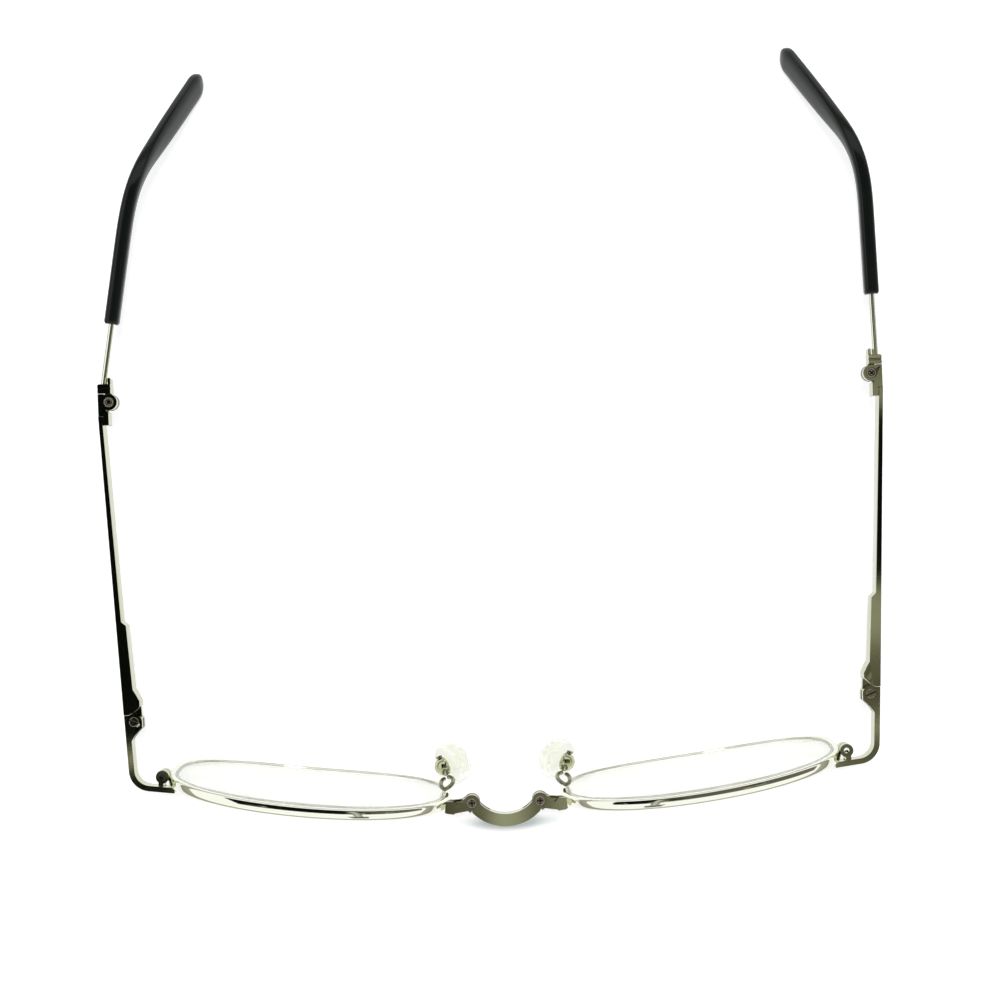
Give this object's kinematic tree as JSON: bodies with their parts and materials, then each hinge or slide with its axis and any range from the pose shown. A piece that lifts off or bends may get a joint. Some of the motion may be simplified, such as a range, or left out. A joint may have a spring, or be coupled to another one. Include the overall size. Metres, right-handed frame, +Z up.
{
  "type": "reading glasses",
  "caption": "Folding full-rim metal reading glasses with a hinged bridge, mid-temple hinges, clear lenses, silicone nose pads and black temple tips.",
  "frame": {"origin": "on the table under the middle of the open glasses, midway between the front of the bridge and the back of the temple tips", "axes": "+X towards the right of the picture, +Y back along the temples, +Z up"},
  "size_m": [0.1427, 0.1434, 0.0311],
  "materials": {
    "nickel_silver": "bright polished nickel plate with a slightly warm tint",
    "screw_steel": "turned screw heads with a dark edge",
    "blackened_screw": "dark closing screw",
    "lens": "clear, coated, with a faint pale green edge",
    "pad_core": "hard translucent white core",
    "silicone_pad": "soft clear silicone, very pale yellow",
    "black_tip": "glossy black moulded sleeve, bare of lettering"
  },
  "bodies": {
    "bridge": {"bridge_bar": "nickel_silver", "left_bridge_screw": "screw_steel", "right_bridge_screw": "screw_steel"},
    "left_front": {"left_rim": "nickel_silver", "left_lens": "lens", "left_bridge_lug": "nickel_silver", "left_closing_block_upper": "nickel_silver", "left_closing_block_lower": "nickel_silver", "left_closing_screw": "blackened_screw", "left_pad_arm": "nickel_silver", "left_pad_box": "nickel_silver", "left_pad_screw": "screw_steel", "left_endpiece": "nickel_silver", "left_endpiece_screw": "screw_steel"},
    "left_pad": {"left_pad_core": "pad_core", "left_nose_pad": "silicone_pad"},
    "left_temple": {"left_temple_bar": "nickel_silver", "left_hinge_plate": "nickel_silver", "left_mid_hinge_front": "nickel_silver", "left_mid_hinge_screw": "screw_steel"},
    "left_tip": {"left_mid_hinge_rear": "nickel_silver", "left_temple_wire": "nickel_silver", "left_tip_sleeve": "black_tip"},
    "right_front": {"right_rim": "nickel_silver", "right_lens": "lens", "right_bridge_lug": "nickel_silver", "right_closing_block_upper": "nickel_silver", "right_closing_block_lower": "nickel_silver", "right_closing_screw": "blackened_screw", "right_pad_arm": "nickel_silver", "right_pad_box": "nickel_silver", "right_pad_screw": "screw_steel", "right_endpiece": "nickel_silver", "right_endpiece_screw": "screw_steel"},
    "right_pad": {"right_pad_core": "pad_core", "right_nose_pad": "silicone_pad"},
    "right_temple": {"right_temple_bar": "nickel_silver", "right_hinge_plate": "nickel_silver", "right_mid_hinge_front": "nickel_silver", "right_mid_hinge_screw": "screw_steel"},
    "right_tip": {"right_mid_hinge_rear": "nickel_silver", "right_temple_wire": "nickel_silver", "right_tip_sleeve": "black_tip"}
  },
  "joints": [
    {"name": "left_bridge_fold", "type": "hinge", "parent": "bridge", "child": "left_front", "pos_m": [-0.0062, -0.0673, 0.021], "axis": [0, 0, 1], "range_deg": [0, 82]},
    {"name": "left_temple_fold", "type": "hinge", "parent": "left_front", "child": "left_temple", "pos_m": [-0.06694, -0.0502, 0.021], "axis": [0, 0, -1], "range_deg": [0, 87]},
    {"name": "left_tip_fold", "type": "hinge", "parent": "left_temple", "child": "left_tip", "pos_m": [-0.06929, 0.008, 0.021], "axis": [0, 0, -1], "range_deg": [0, 165]},
    {"name": "left_pad_swivel", "type": "hinge", "parent": "left_front", "child": "left_pad", "pos_m": [-0.01154, -0.06173, 0.01249], "axis": [-0.342, 0.9397, 0], "range_deg": [-8, 8]},
    {"name": "right_bridge_fold", "type": "hinge", "parent": "bridge", "child": "right_front", "pos_m": [0.0062, -0.0673, 0.021], "axis": [0, 0, -1], "range_deg": [0, 82]},
    {"name": "right_temple_fold", "type": "hinge", "parent": "right_front", "child": "right_temple", "pos_m": [0.06694, -0.0502, 0.021], "axis": [0, 0, 1], "range_deg": [0, 87]},
    {"name": "right_tip_fold", "type": "hinge", "parent": "right_temple", "child": "right_tip", "pos_m": [0.06929, 0.008, 0.021], "axis": [0, 0, 1], "range_deg": [0, 165]},
    {"name": "right_pad_swivel", "type": "hinge", "parent": "right_front", "child": "right_pad", "pos_m": [0.01154, -0.06173, 0.01249], "axis": [0.342, 0.9397, 0], "range_deg": [-8, 8]}
  ]
}
